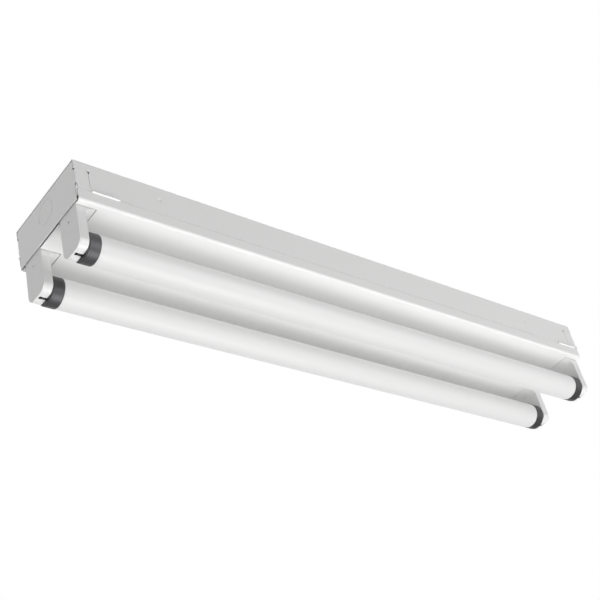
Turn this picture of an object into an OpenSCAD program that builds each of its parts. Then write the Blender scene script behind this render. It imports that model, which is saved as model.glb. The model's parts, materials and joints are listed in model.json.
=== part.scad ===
// Two-lamp fluorescent strip light: a folded steel channel with nested end plates, a cover that
// clips in from below, and two tubes in four lampholders whose rotors lock the pins by a quarter turn.
// X runs along the lamps, Y across them and Z up. The origin is the middle of the channel's top face,
// which lies against the ceiling. Lengths are in millimetres.

/* [Channel] */
// Length over the end plates
channel_l = 609.6; // [560:0.1:1230]
// Width over the side walls
channel_w = 95.25; // [93:0.05:140]
// Depth of the side wall down to the cover seam
wall_h = 30.4; // [29:0.1:40]
// Depth of the lip that stands behind the cover's flange
lip_h = 7.6; // [5:0.1:8]
// Thickness of the channel, cover and end plate sheet
sheet_t = 0.8; // [0.6:0.05:1]
// Outside radius of the channel's folds
fold_r = 1.6; // [1.2:0.1:2.4]
// Clearance between pieces that slide or turn past each other
fit_gap = 0.3; // [0.2:0.05:0.4]
// Clearance between nested sheets
nest_gap = 0.1; // [0.05:0.05:0.2]

/* [Mounting] */
// Distance of a ceiling screw hole from the channel's end
screw_inset = 76.2; // [70:0.1:90]
// Radius of a ceiling screw hole
screw_r = 3.2; // [2.5:0.1:4]
// Distance of a hanger slot's middle from the channel's end
hanger_inset = 38.1; // [36.8:0.1:44]
// Distance between the hanger slots across the channel
hanger_pitch_w = 50.8; // [40:0.1:60]
// Half width of a hanger slot
hanger_r = 2.4; // [2:0.1:3]
// Length of a hanger slot from end to end
hanger_l = 19; // [14:0.5:24]
// Radius of a wiring knockout
knockout_r = 11.1; // [10.5:0.1:11.5]
// Width of the ring cut round a knockout
knockout_cut = 0.5; // [0.3:0.05:0.8]
// Depth of the ring cut round a knockout
knockout_deep = 0.4; // [0.2:0.05:0.5]
// Distance of the top knockout from the channel's left end
knockout_inset = 114.8; // [102:0.1:134]

/* [Cover] */
// Depth from the channel's top to the cover's underside
closed_h = 42.9; // [42.2:0.1:48]
// Outside radius of the cover's folds
cover_fold_r = 2.6; // [2:0.1:4]
// Gap between the cover's end and the end plate
cover_end_gap = 0.3; // [0.3:0.1:1.5]
// Drop of the folded step above the cover's flange
seam_drop = 0.1; // [0.05:0.05:0.3]
// Gap round the lampholders in the cover's notches
notch_gap = 0.6; // [0.4:0.1:0.8]
// Length of a pry lip on the cover's flange
pry_l = 25; // [15:1:35]
// Distance of a left pry lip from the channel's end
pry_inset_left = 13.7; // [10:0.1:20]
// Distance of a right pry lip from the channel's end
pry_inset_right = 6; // [4:0.1:20]
// Radius of the rolled pry lip
pry_r = 1.1; // [0.9:0.05:1.4]

/* [End plates] */
// Depth from the channel's top to the plate's lower edge
plate_h = 41.2; // [38:0.1:41.9]
// Length of the tab along the side wall
tab_l = 12.4; // [8:0.1:16]
// Height of the tab
tab_h = 16.5; // [12:0.1:18]
// Depth of the tab's upper edge
tab_z = 10; // [7:0.1:10.6]
// Gap between the tab's end and its pocket in the side wall
tab_gap = 0.5; // [0.2:0.05:0.8]
// Radius of the relief cuts at the tab's folds and its pocket's corner
relief_r = 1.4; // [0.6:0.1:1.4]
// Length of the flange under the channel's top
flange_l = 10; // [6:0.1:12]
// Depth of the end knockout's centre
knockout_z = 17.5; // [15:0.1:20]
// Radius of the dimples in the side walls
dimple_r = 1.9; // [1:0.1:2.5]
// Depth of the dimples in the side walls
dimple_deep = 0.55; // [0.2:0.05:0.6]
// Distance of a dimple from the channel's end
dimple_inset = 78.8; // [65:0.1:90]
// Depth of a dimple's centre
dimple_z = 15; // [12:0.5:20]

/* [Lamps] */
// Radius of the glass tube
lamp_r = 12.7; // [12:0.1:13]
// Distance of a lamp's axis from the face of the side wall
lamp_inset = 19.025; // [17:0.025:19.5]
// Depth of the lamp axes below the channel's top
lamp_z = 73.5; // [72.5:0.1:76]
// Gap between the lamp's end and the lampholder
lamp_gap = 0.3; // [0.3:0.1:0.8]
// Length of a metal end cap
cap_l = 10.4; // [9:0.1:13]
// Thickness of the cap's sheet
cap_t = 0.35; // [0.3:0.05:0.4]
// How far the cap stands out round the glass
cap_step = 0.15; // [0.1:0.05:0.3]
// Radius of the cap's edge
cap_edge_r = 1.2; // [0.8:0.1:1.6]
// Thickness of the glass
glass_t = 0.8; // [0.6:0.1:1]
// Radius of a pin
pin_r = 1.175; // [1.1:0.005:1.2]
// Length of a pin outside the cap
pin_l = 6.6; // [6.2:0.1:6.7]
// Distance between a cap's two pins
pin_pitch = 12.7; // [12.5:0.05:12.8]
// Radius of the insulating disc in the cap's end
base_r = 8.6; // [8.2:0.1:9.5]
// Thickness of the insulating disc
base_t = 1.6; // [1.2:0.1:2]

/* [Lampholders] */
// Width across the lampholder
holder_w = 25.4; // [24:0.1:26]
// Thickness of the lampholder with its back plate
holder_t = 8.2; // [8:0.1:9]
// Distance of the back plate from the channel's end
holder_inset = 1.4; // [1.3:0.1:2]
// Depth of the lampholder's tip below the lamp axis
holder_tip = 9; // [8.9:0.1:12]
// Radius of the lampholder's lower corners
holder_corner_r = 7.6; // [5:0.1:8.4]
// Thickness of the lampholder's side walls
holder_wall = 1.5; // [1.2:0.1:1.8]
// Thickness of the wall that faces the lamp
face_t = 1.4; // [1.2:0.1:1.6]
// Thickness of the back plate
back_t = 1.2; // [1:0.1:1.3]
// Reach of the foot in front of the lampholder's face
foot_l = 9.6; // [6:0.1:12]
// Thickness of the foot
foot_t = 1.8; // [1.4:0.1:2.4]
// Radius of the flare between face and foot
flare_r = 6.5; // [3:0.1:8]
// Radius of the rotor's nose in the lampholder's face
rotor_r = 8.2; // [8.15:0.05:8.25]
// Radius of the rotor's collar behind the face
collar_r = 8.5; // [8.4:0.05:8.6]
// Thickness of the rotor's collar
collar_t = 2.7; // [2.2:0.1:2.8]
// Radial running clearance of the rotor
rotor_gap = 0.08; // [0.04:0.01:0.1]
// Thickness of the contact strip
contact_t = 0.4; // [0.3:0.05:0.5]
// Width of the contact strip
contact_w = 1.6; // [1.2:0.1:1.8]
// Radius of the button on the back plate
button_r = 2.2; // [1.8:0.1:2.6]
// Distance of the button above the lamp axis
button_z = 22; // [20:0.1:24]
// Height of the button on the back plate
button_t = 0.4; // [0.2:0.1:0.6]

/* [Brackets] */
// Thickness of the bracket sheet
bracket_t = 1; // [0.8:0.1:1.2]
// Length of a bracket along the channel
bracket_l = 18; // [16:0.5:24]
// Depth of the bracket's underside below the channel's top
bracket_z = 35.4; // [34:0.1:36]
// Height of the bracket's side flanges
bracket_h = 9; // [6:0.5:12]
// Width of a lampholder's snap leg
leg_w = 18; // [14:0.5:19]
// Thickness of a lampholder's snap leg
leg_t = 4.4; // [3.6:0.1:5]
// Height of the barb on a snap leg
barb_h = 2.4; // [1.6:0.1:3]
// How far a barb reaches over the bracket
barb_out = 0.8; // [0.5:0.1:1.2]

/* [Ballast] */
// Length of the base plate with its mounting ears
ballast_l = 241; // [225:1:250]
// Length of an ear beyond the case
ear_l = 13.5; // [12.5:0.1:16]
// Width of the ballast
ballast_w = 43; // [38:1:46]
// Height of the case
case_h = 28; // [24:0.5:30]
// Thickness of the case sheet
case_t = 0.7; // [0.5:0.05:1]
// Outside radius of the case's folds
case_fold_r = 1.8; // [1.2:0.1:3]
// Depth of an ear's open slot to the stud's middle
ear_slot = 6.2; // [5.8:0.1:7]
// Place of the ballast along the channel
ballast_x = 60; // [50:1:70]
// Radius of a welded stud
stud_r = 2.2; // [2:0.1:2.5]
// Height of a nut
nut_h = 3.4; // [3:0.1:4]
// Radius of a nut over its corners
nut_r = 4.9; // [4.4:0.1:5.5]
// Radius of a wire with its insulation
wire_r = 1; // [0.8:0.05:1.1]

/* [Hidden] */

// Steps round a full circle
$fn = 64;
// Overlap of joined shapes and overrun of cuts
over = 0.5;

// Places along and across the channel
end_x = channel_l / 2;
screw_x = end_x - screw_inset;
hanger_x = end_x - hanger_inset;
dimple_x = end_x - dimple_inset;
top_knockout_x = knockout_inset - end_x;
lamp_y = channel_w / 2 - lamp_inset;
holder_x = end_x - holder_inset - holder_t;
lamp_l = 2 * (holder_x - lamp_gap);

// Folded channel: the lip stands inside the cover's flange
lip_out = channel_w / 2 - sheet_t - fit_gap;
lip_in = lip_out - sheet_t;
flange_h = closed_h - wall_h - seam_drop - fit_gap;

// End plate: nested between the side walls, with its tab in a pocket of the wall
plate_gap = 0.4;
corner_gap = 0.6;
plate_side = channel_w / 2 - sheet_t - plate_gap;
plate_side_low = lip_in - plate_gap;
plate_fold_r = 1.2;
top_flange_w = plate_side - fold_r;

// Lamp
cap_r = lamp_r + cap_step;
neck_r = cap_r - cap_t - cap_step;
neck_step = 0.6;
neck_end = 3.4;
pin_reach = pin_pitch / 2 + pin_r;
base_lip = 0.8;
pin_root = 3;
pin_tip_r = 0.5;
stem_r = 3.2;
stem_l = 14;
stem_disc_t = 1.2;
electrode_r = 0.35;
electrode_l = 7;
electrode_y = 2.2;
coil_r = 0.8;

// Lampholder, measured from the lamp axis
slot_w = 2 * (pin_r + fit_gap);
slot_deep = pin_l - lamp_gap + 2 * nest_gap;
cover_low = lamp_z - closed_h;
head_top = lamp_z - bracket_z;
cavity_top = cover_low - holder_wall;
collar_x = face_t + fit_gap;
contact_x = collar_x + collar_t + fit_gap;
contact_in = pin_reach + fit_gap;
leg_in = contact_x + fit_gap;
leg_x = holder_x + leg_in;
contact_low = 3;
contact_lead_l = 2.6;
contact_lead_a = 22;
contact_fold_r = 1.6;
barb_low = head_top + bracket_t + nest_gap;
leg_top = barb_low + barb_h;
wire_hole_r = wire_r + nest_gap;
button_hole_r = 0.8;

// Ballast, hung under the channel's top
case_l = ballast_l - 2 * ear_l;
stud_x = ballast_l / 2 - ear_slot;
ear_t = 1;
ballast_top = -sheet_t;
stud_over = 1.8;
stud_l = ear_t + nut_h + stud_over;
case_low = ballast_top - ear_t - case_h;
ground_run = 12;
ground_x = ballast_x - ballast_l / 2 - ground_run;
ground_y = 24;

// Wires: their ends, bends and runs, and the connectors on the supply side
wire_sides = 8;
corner_steps = 5;
bend_c = 9;
wire_gap = 3.4;
wire_y = lip_in - wire_gap;
wire_z = -7;
exit_y = 9;
exit_z = ballast_top - ear_t - case_h / 2;
exit_run = 10;
exit_slope = 26;
holder_run = 16;
supply_y = 3;
supply_drop = 5;
supply_z = exit_z - supply_drop;
supply_run_z = -14;
supply_slope = 28;
connector_r = 5;
connector_tip_r = 3.2;
connector_l = 18;
connector_socket = 3;
connector_run = 74;
connector_x = ballast_x - case_l / 2 - connector_run;
connector_ys = [-14, 4, 22];
ring_out_r = 4.4;
tongue_l = 9;
tongue_w = 3;
ring_run = 16;

// Flat outline with two rounded upper corners, its top edge on the X axis
module u_outline(w, h, r) {
    translate([-w / 2, -h]) square([w, h - r]);
    translate([r - w / 2, -r]) square([w - 2 * r, r]);
    for (side = [-1, 1])
        translate([side * (w / 2 - r), -r]) circle(r);
}

// Folded U of one sheet, open downwards
module u_sheet(w, h, r, t) {
    difference() {
        u_outline(w, h, r);
        translate([0, -t]) u_outline(w - 2 * t, h - t + over, r - t);
    }
}

// Flat shape in Y and Z, drawn out along X from x0 over length l
module along_x(x0, l) {
    translate([x0, 0, 0]) rotate([90, 0, 90]) linear_extrude(l) children();
}

// Solid of revolution whose own axis lies along X
module turned_x() {
    rotate([0, 90, 0]) rotate_extrude() children();
}

// Round bar along X
module bar_x(x0, l, r) {
    translate([x0, 0, 0]) rotate([0, 90, 0]) cylinder(h = l, r = r);
}

// A right-hand piece, or its mirror image at the left end
module at_end(left) {
    mirror([left ? 1 : 0, 0, 0]) children();
}

// A piece drawn round the lamp axis, set on the front or rear lamp's axis
module on_lamp(front) {
    translate([0, front ? -lamp_y : lamp_y, -lamp_z]) children();
}

// Ring that marks a knockout, drawn round the Z axis and cut downwards from zero
module knockout_ring() {
    translate([0, 0, -knockout_deep]) difference() {
        cylinder(h = knockout_deep + over, r = knockout_r);
        translate([0, 0, -over]) cylinder(h = knockout_deep + 3 * over, r = knockout_r - knockout_cut);
    }
}

// Slot along X with round ends
module slot_x(l, r, h) {
    for (side = [-1, 1])
        translate([side * (l / 2 - r), 0, 0]) cylinder(h = h, r = r);
    translate([r - l / 2, -r, 0]) cube([l - 2 * r, 2 * r, h]);
}

// Points of a route whose corners are rounded by a curve that starts c before each corner
function toward(a, b, c) = a + (b - a) * c / norm(b - a);
function curve(a, b, c, u) = (1 - u) * (1 - u) * a + 2 * u * (1 - u) * b + u * u * c;
function rounded(route, c) = concat(
    [route[0]],
    [for (i = [1 : len(route) - 2])
        let (before = toward(route[i], route[i - 1], c), after = toward(route[i], route[i + 1], c))
        for (k = [0 : corner_steps])
            curve(before, route[i], after, k / corner_steps)],
    [route[len(route) - 1]]
);

// Round wire along a route, its rings square to the path; no run may be parallel to ring_up
ring_up = [0.31, 0.43, 0.85];
function unit(v) = v / norm(v);
function heading(path, i) = unit(path[min(i + 1, len(path) - 1)] - path[max(i - 1, 0)]);
function ring(path, i, r) =
    let (t = heading(path, i), a = unit(cross(t, ring_up)), b = cross(a, t))
    [for (k = [0 : wire_sides - 1])
        path[i] + r * (cos(360 * k / wire_sides) * a + sin(360 * k / wire_sides) * b)];
module wire(route) {
    path = rounded(route, bend_c);
    n = len(path);
    points = [for (i = [0 : n - 1]) each ring(path, i, wire_r)];
    sides = [for (i = [0 : n - 2]) for (k = [0 : wire_sides - 1])
        let (k2 = (k + 1) % wire_sides)
        [i * wire_sides + k, i * wire_sides + k2, (i + 1) * wire_sides + k2, (i + 1) * wire_sides + k]];
    near_end = [for (k = [0 : wire_sides - 1]) wire_sides - 1 - k];
    far_end = [for (k = [0 : wire_sides - 1]) (n - 1) * wire_sides + k];
    polyhedron(points, concat(sides, [near_end, far_end]));
}

// Outline of one side wall's joggle and lip, for the side at plus Y
module lip_outline() {
    polygon([
        [channel_w / 2 - sheet_t, sheet_t - wall_h],
        [channel_w / 2, sheet_t - wall_h],
        [channel_w / 2, -wall_h],
        [lip_out, -wall_h - seam_drop],
        [lip_out, -wall_h - lip_h],
        [lip_in, -wall_h - lip_h],
        [lip_in, sheet_t - wall_h - seam_drop]
    ]);
}

// Channel with its lips, the pockets for the end plates' tabs, and the holes in its top
module channel_housing() {
    color("white") difference() {
        union() {
            difference() {
                along_x(-end_x, channel_l) {
                    u_sheet(channel_w, wall_h, fold_r, sheet_t);
                    for (side = [0, 1])
                        mirror([side, 0]) lip_outline();
                }
                for (x = [0, 1], y = [0, 1])
                    mirror([x, 0, 0]) mirror([0, y, 0]) tab_pocket();
            }
            for (x = [0, 1], y = [0, 1])
                mirror([x, 0, 0]) mirror([0, y, 0]) pocket_floor();
        }
        for (x = [-1, 1], y = [-1, 1])
            translate([x * (end_x - tab_l - tab_gap / 2), y * channel_w / 2, -tab_z]) rotate([90, 0, 0])
                cylinder(h = 6 * sheet_t, r = relief_r, center = true);
        for (side = [-1, 1])
            translate([side * screw_x, 0, -sheet_t - over])
                cylinder(h = sheet_t + 2 * over, r = screw_r);
        for (x = [-1, 1], y = [-1, 1])
            translate([x * hanger_x, y * hanger_pitch_w / 2, -sheet_t - over])
                slot_x(hanger_l, hanger_r, sheet_t + 2 * over);
        translate([top_knockout_x, 0, 0]) knockout_ring();
        for (x = [-1, 1], y = [-1, 1])
            translate([x * dimple_x, y * channel_w / 2, -dimple_z]) rotate([90, 0, 0])
                cylinder(h = 2 * dimple_deep, r = dimple_r, center = true);
    }
}

// Window for a tab in the side wall at plus X and plus Y, and the wall cut back below it
module tab_pocket() {
    low = -tab_z - tab_h - nest_gap;
    translate([end_x - tab_l - tab_gap, channel_w / 2 - sheet_t - over, low])
        cube([tab_l + tab_gap + over, sheet_t + 2 * over, tab_h + 2 * nest_gap]);
    translate([end_x - sheet_t - corner_gap, channel_w / 2 - sheet_t - over, sheet_t - wall_h])
        cube([sheet_t + corner_gap + over, sheet_t + 2 * over, low + over + wall_h - sheet_t]);
}

// Inset wall that a tab lies on, at plus X and plus Y
module pocket_floor() {
    translate([
        end_x - tab_l - tab_gap - sheet_t,
        channel_w / 2 - 2 * sheet_t,
        -tab_z - tab_h - nest_gap - sheet_t
    ])
        cube([
            tab_l + tab_gap + sheet_t - plate_fold_r - nest_gap,
            sheet_t,
            tab_h + 2 * (nest_gap + sheet_t)
        ]);
}

// End plate at plus X: a nested panel, a flange under the channel's top and two tabs
module end_plate() {
    color("gainsboro") difference() {
        union() {
            along_x(end_x - sheet_t, sheet_t) plate_outline();
            translate([0, top_flange_w, 0]) rotate([90, 0, 0]) linear_extrude(2 * top_flange_w)
                top_flange_outline();
            translate([end_x, 0, -tab_z - tab_h]) rotate([0, 0, -90]) linear_extrude(tab_h)
                u_sheet(channel_w, tab_l, plate_fold_r, sheet_t);
        }
        for (y = [-1, 1], z = [-tab_z, -tab_z - tab_h])
            translate([end_x, y * (plate_side + plate_gap / 2), z]) rotate([0, 90, 0])
                cylinder(h = 3 * sheet_t, r = relief_r, center = true);
        translate([end_x, 0, -knockout_z]) rotate([0, 90, 0]) knockout_ring();
    }
}

// Panel of the end plate: as wide as the channel below its tabs, and narrower where the lips stand
module plate_outline() {
    wide_z = -tab_z - tab_h - plate_gap;
    polygon([
        [-top_flange_w, -sheet_t - nest_gap - plate_fold_r],
        [top_flange_w, -sheet_t - nest_gap - plate_fold_r],
        [plate_side, -sheet_t - fold_r],
        [plate_side, wide_z],
        [channel_w / 2, wide_z],
        [channel_w / 2, sheet_t + plate_gap - wall_h],
        [plate_side_low, sheet_t - wall_h],
        [plate_side_low, -plate_h],
        [-plate_side_low, -plate_h],
        [-plate_side_low, sheet_t - wall_h],
        [-channel_w / 2, sheet_t + plate_gap - wall_h],
        [-channel_w / 2, wide_z],
        [-plate_side, wide_z],
        [-plate_side, -sheet_t - fold_r]
    ]);
}

// Section of the upper fold and flange, in X and Z
module top_flange_outline() {
    top = -sheet_t - nest_gap;
    translate([end_x - flange_l, top - sheet_t]) square([flange_l - plate_fold_r, sheet_t]);
    translate([end_x - plate_fold_r, top - plate_fold_r]) intersection() {
        difference() {
            circle(plate_fold_r);
            circle(plate_fold_r - sheet_t);
        }
        square(plate_fold_r);
    }
}

// Cover: a shallow tray with notches for the lampholders and four pry lips
module channel_cover() {
    cover_x = end_x - sheet_t - cover_end_gap;
    notch_x = holder_x - foot_l - notch_gap;
    notch_w = holder_w + 2 * notch_gap;
    color("white") {
        difference() {
            translate([0, 0, -closed_h]) along_x(-cover_x, 2 * cover_x)
                mirror([0, 1]) u_sheet(channel_w, flange_h, cover_fold_r, sheet_t);
            for (x = [0, 1], y = [-1, 1])
                mirror([x, 0, 0])
                    translate([notch_x, y * lamp_y - notch_w / 2, -closed_h - over])
                        cube([cover_x - notch_x + over, notch_w, sheet_t + 2 * over]);
        }
        for (x = [0, 1], y = [0, 1])
            mirror([x, 0, 0]) mirror([0, y, 0]) pry_lip(x == 0 ? pry_inset_right : pry_inset_left);
    }
}

// Rolled lip at plus X and plus Y: it grows out of the flange's edge and stands clear of the side wall
module pry_lip(inset) {
    translate([end_x - inset - pry_l, channel_w / 2, -wall_h]) difference() {
        bar_x(0, pry_l, pry_r);
        translate([-over, -pry_r - over, -pry_r - over])
            cube([pry_l + 2 * over, pry_r + over - sheet_t / 2, 2 * (pry_r + over)]);
        translate([-over, -pry_r - over, -seam_drop - fit_gap])
            cube([pry_l + 2 * over, pry_r + over + fit_gap, 2 * (pry_r + over)]);
    }
}

// Bracket at plus X: a tray between the channel's lips with a window for each snap leg
module lampholder_bracket() {
    color("silver") difference() {
        translate([0, 0, -bracket_z])
            along_x(end_x - sheet_t - nest_gap - bracket_l, bracket_l)
                mirror([0, 1]) u_sheet(2 * (lip_in - nest_gap), bracket_h, fold_r, bracket_t);
        for (side = [-1, 1])
            translate([
                leg_x - leg_t / 2 - nest_gap,
                side * lamp_y - leg_w / 2 - nest_gap,
                -bracket_z - over
            ])
                cube([leg_t + 2 * nest_gap, leg_w + 2 * nest_gap, bracket_t + 2 * over]);
    }
}

// Outline of a lampholder from its tip up to a height, drawn in by an inset
module holder_outline(top, inset) {
    half_w = holder_w / 2 - inset;
    corner_r = holder_corner_r - inset;
    translate([-half_w, holder_corner_r - holder_tip])
        square([2 * half_w, top - holder_corner_r + holder_tip]);
    translate([corner_r - half_w, inset - holder_tip])
        square([2 * (half_w - corner_r), corner_r + over]);
    for (side = [-1, 1])
        translate([side * (half_w - corner_r), holder_corner_r - holder_tip]) circle(corner_r);
}

// Lampholder body at plus X on the lamp axis: an open-backed shell, a foot and a snap leg
module lampholder() {
    color("white") translate([holder_x, 0, 0]) difference() {
        union() {
            along_x(0, holder_t - back_t) holder_outline(head_top, 0);
            translate([0, -holder_w / 2, cover_low]) cube([holder_t, holder_w, head_top - cover_low]);
            holder_foot();
            snap_leg();
        }
        along_x(face_t, holder_t) holder_outline(cavity_top, holder_wall);
        bar_x(face_t, holder_t, collar_r + rotor_gap);
        bar_x(-over, face_t + 2 * over, rotor_r + rotor_gap);
        translate([-over, -slot_w / 2, -holder_tip - over])
            cube([slot_deep + over, slot_w, holder_tip + over]);
        translate([leg_in, 0, cavity_top - over])
            cylinder(h = leg_top - cavity_top + 2 * over, r = wire_hole_r);
    }
}

// Foot in the cover's notch, with the curved flare below it
module holder_foot() {
    translate([-foot_l, -holder_w / 2, cover_low]) cube([foot_l + over, holder_w, foot_t]);
    translate([0, holder_w / 2, cover_low]) rotate([90, 0, 0]) linear_extrude(holder_w) difference() {
        translate([-flare_r, -flare_r]) square([flare_r + over, flare_r + over]);
        translate([-flare_r, -flare_r]) circle(flare_r);
    }
}

// Leg that snaps through the bracket's window, with a barb at each side
module snap_leg() {
    translate([leg_in - leg_t / 2, -leg_w / 2, head_top - over])
        cube([leg_t, leg_w, leg_top - head_top + over]);
    for (side = [0, 1])
        mirror([0, side, 0]) along_x(leg_in - leg_t / 2, leg_t) polygon([
            [leg_w / 2 - over, barb_low],
            [leg_w / 2 + barb_out, barb_low],
            [leg_w / 2, leg_top],
            [leg_w / 2 - over, leg_top]
        ]);
}

// Plate that closes the back of a lampholder, with its round button
module holder_back() {
    color("whitesmoke") translate([holder_x + holder_t - back_t, 0, 0]) difference() {
        union() {
            along_x(0, back_t) holder_outline(cover_low, 0);
            translate([back_t, 0, button_z]) bar_x(-over, button_t + over, button_r);
        }
        translate([0, 0, button_z]) bar_x(-over, back_t + button_t + 2 * over, button_hole_r);
    }
}

// Rotor: a nose that shows in the lampholder's face, a collar behind it, and the pin slot,
// which is open at one end so that both pins can enter it
module rotor() {
    color("white") translate([holder_x, 0, 0]) difference() {
        union() {
            bar_x(fit_gap, collar_x, rotor_r);
            bar_x(collar_x, collar_t, collar_r);
        }
        translate([-over, -collar_r - over, -slot_w / 2])
            cube([collar_x + collar_t + 2 * over, collar_r + over + pin_reach + fit_gap, slot_w]);
    }
}

// Contact: one strip folded over the rotor, with a flared leaf beside each pin
module contact() {
    outer = contact_in + contact_t;
    strip_x = holder_x + contact_x;
    color("goldenrod") {
        along_x(strip_x, contact_w) translate([0, cavity_top - nest_gap])
            u_sheet(2 * outer, cavity_top - nest_gap + contact_low, contact_fold_r, contact_t);
        for (side = [0, 1])
            mirror([0, side, 0]) translate([strip_x, outer, -contact_low]) rotate([contact_lead_a, 0, 0])
                translate([0, -contact_t, -contact_lead_l])
                    cube([contact_w, contact_t, contact_lead_l + contact_t / 2]);
    }
}

// Glass tube on the lamp axis, drawn in at both ends where the caps go
module lamp_glass() {
    body_x = lamp_l / 2 - cap_l - neck_step;
    neck_x = lamp_l / 2 - cap_l;
    tip_x = lamp_l / 2 - neck_end;
    color("white") turned_x() polygon([
        [lamp_r, -body_x],
        [lamp_r, body_x],
        [neck_r, neck_x],
        [neck_r, tip_x],
        [neck_r - glass_t, tip_x],
        [neck_r - glass_t, neck_x],
        [lamp_r - glass_t, body_x],
        [lamp_r - glass_t, -body_x],
        [neck_r - glass_t, -neck_x],
        [neck_r - glass_t, -tip_x],
        [neck_r, -tip_x],
        [neck_r, -neck_x]
    ]);
}

// Metal cap at plus X: a cup whose end is turned in to hold the insulating disc
module lamp_cap() {
    end = lamp_l / 2;
    edge = end - cap_edge_r;
    in_r = cap_edge_r - cap_t;
    color("dimgray") turned_x() polygon(concat(
        [[cap_r, end - cap_l]],
        [for (a = [0 : 15 : 90]) [cap_r - cap_edge_r + cap_edge_r * cos(a), edge + cap_edge_r * sin(a)]],
        [[base_r, end], [base_r, end - cap_t]],
        [for (a = [90 : -15 : 0]) [cap_r - cap_edge_r + in_r * cos(a), edge + in_r * sin(a)]],
        [[cap_r - cap_t, end - cap_l]]
    ));
}

// Insulating disc in the cap's end, with a hole for each pin
module lamp_base() {
    color("sienna") difference() {
        union() {
            bar_x(lamp_l / 2 - cap_t - nest_gap - base_t, base_t, base_r + base_lip);
            bar_x(lamp_l / 2 - cap_t - base_t, base_t + cap_t, base_r - nest_gap);
        }
        for (side = [-1, 1])
            translate([0, side * pin_pitch / 2, 0])
                bar_x(lamp_l / 2 - base_t - cap_t - over, base_t + cap_t + 2 * over, pin_r + nest_gap / 2);
    }
}

// The two pins of a cap, side by side while the lamp is locked
module lamp_pins() {
    end = lamp_l / 2;
    color("gold") for (side = [-1, 1])
        translate([0, side * pin_pitch / 2, 0]) turned_x() polygon([
            [0, end - pin_root],
            [pin_r, end - pin_root],
            [pin_r, end + pin_l - pin_tip_r],
            [pin_r - pin_tip_r, end + pin_l],
            [0, end + pin_l]
        ]);
}

// Stems at both ends of a tube: a glass disc and foot that carry the two electrode wires and the coil
module cathodes() {
    tip_x = lamp_l / 2 - neck_end;
    stem_x = tip_x - stem_disc_t;
    color("lightgray") for (end = [0, 1]) mirror([end, 0, 0]) {
        bar_x(stem_x, stem_disc_t, neck_r - glass_t - nest_gap);
        bar_x(stem_x - stem_l, stem_l + over, stem_r);
        for (side = [-1, 1])
            translate([0, side * electrode_y, 0])
                bar_x(stem_x - stem_l - electrode_l, electrode_l + over, electrode_r);
        translate([stem_x - stem_l - electrode_l, 0, 0]) rotate([90, 0, 0])
            cylinder(h = 2 * (electrode_y + coil_r), r = coil_r, center = true);
    }
}

// Case of the ballast: a can that is open towards the channel's top
module ballast_case() {
    color("gainsboro") difference() {
        translate([0, 0, case_low]) along_x(ballast_x - case_l / 2, case_l)
            mirror([0, 1]) u_outline(ballast_w, case_h, case_fold_r);
        translate([ballast_x - case_l / 2 + case_t, -ballast_w / 2 + case_t, case_low + case_t])
            cube([case_l - 2 * case_t, ballast_w - 2 * case_t, case_h]);
        for (side = [-1, 1]) {
            translate([ballast_x, side * exit_y, exit_z])
                bar_x(-case_l / 2 - over, case_l + 2 * over, wire_hole_r);
            translate([ballast_x, side * supply_y, supply_z])
                bar_x(-case_l / 2 - over, case_t + 2 * over, wire_hole_r);
        }
    }
}

// Base plate of the ballast, with an open slot in each ear
module ballast_base() {
    slot_r = stud_r + nest_gap;
    color("silver") difference() {
        translate([ballast_x - ballast_l / 2, -ballast_w / 2, ballast_top - ear_t])
            cube([ballast_l, ballast_w, ear_t]);
        for (side = [-1, 1])
            translate([ballast_x + side * ballast_l / 2, 0, ballast_top - ear_t - over])
                slot_x(2 * (ear_slot + slot_r), slot_r, ear_t + 2 * over);
    }
}

// Potted electronics that fill the case
module ballast_filling() {
    in_l = case_l - 2 * case_t;
    in_w = ballast_w - 2 * case_t;
    color("dimgray") translate([ballast_x - in_l / 2, -in_w / 2, case_low + case_t])
        cube([in_l, in_w, case_h - case_t]);
}

// Places of the two ballast studs and the ground stud
module at_studs() {
    for (place = [[ballast_x - stud_x, 0], [ballast_x + stud_x, 0], [ground_x, ground_y]])
        translate([place[0], place[1], ballast_top]) children();
}

// Studs welded to the inside of the channel's top
module ballast_studs() {
    color("silver") at_studs() translate([0, 0, -stud_l]) cylinder(h = stud_l, r = stud_r);
}

// Hexagon nuts on the studs
module ballast_nuts() {
    color("silver") at_studs() translate([0, 0, -ear_t - nut_h]) difference() {
        cylinder(h = nut_h, r = nut_r, $fn = 6);
        translate([0, 0, -over]) cylinder(h = nut_h + 2 * over, r = stud_r + nest_gap / 2);
    }
}

// Two wires from the ballast's right end, one to each right-hand lampholder
module leads_right() {
    color("royalblue") for (side = [-1, 1])
        wire(lead_route(side, ballast_x + case_l / 2 - case_t));
}

// Two wires from the ballast's left end, drawn to plus X and mirrored
module leads_left() {
    color("firebrick") mirror([1, 0, 0]) for (side = [-1, 1])
        wire(lead_route(side, case_l / 2 - case_t - ballast_x));
}

// Route of a lamp lead from its exit at the case to a lampholder's wire hole
function lead_route(side, start) = [
    [start, side * exit_y, exit_z],
    [start + exit_run, side * exit_y, exit_z],
    [start + exit_run + exit_slope, side * wire_y, wire_z],
    [leg_x - holder_run, side * wire_y, wire_z],
    [leg_x, side * lamp_y, wire_z],
    [leg_x, side * lamp_y, cavity_top - nest_gap - lamp_z]
];

// Supply wire from the ballast's left end into a connector
module supply_wire(side, y) {
    start = ballast_x - case_l / 2 + case_t;
    wire([
        [start, side * supply_y, supply_z],
        [start - exit_run, side * supply_y, supply_z],
        [start - exit_run - supply_slope, y, supply_run_z],
        [connector_x - connector_socket, y, supply_run_z]
    ]);
}

// Black supply wire
module lead_black() {
    color("dimgray") supply_wire(-1, connector_ys[0]);
}

// White supply wire
module lead_white() {
    color("white") supply_wire(1, connector_ys[1]);
}

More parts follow.
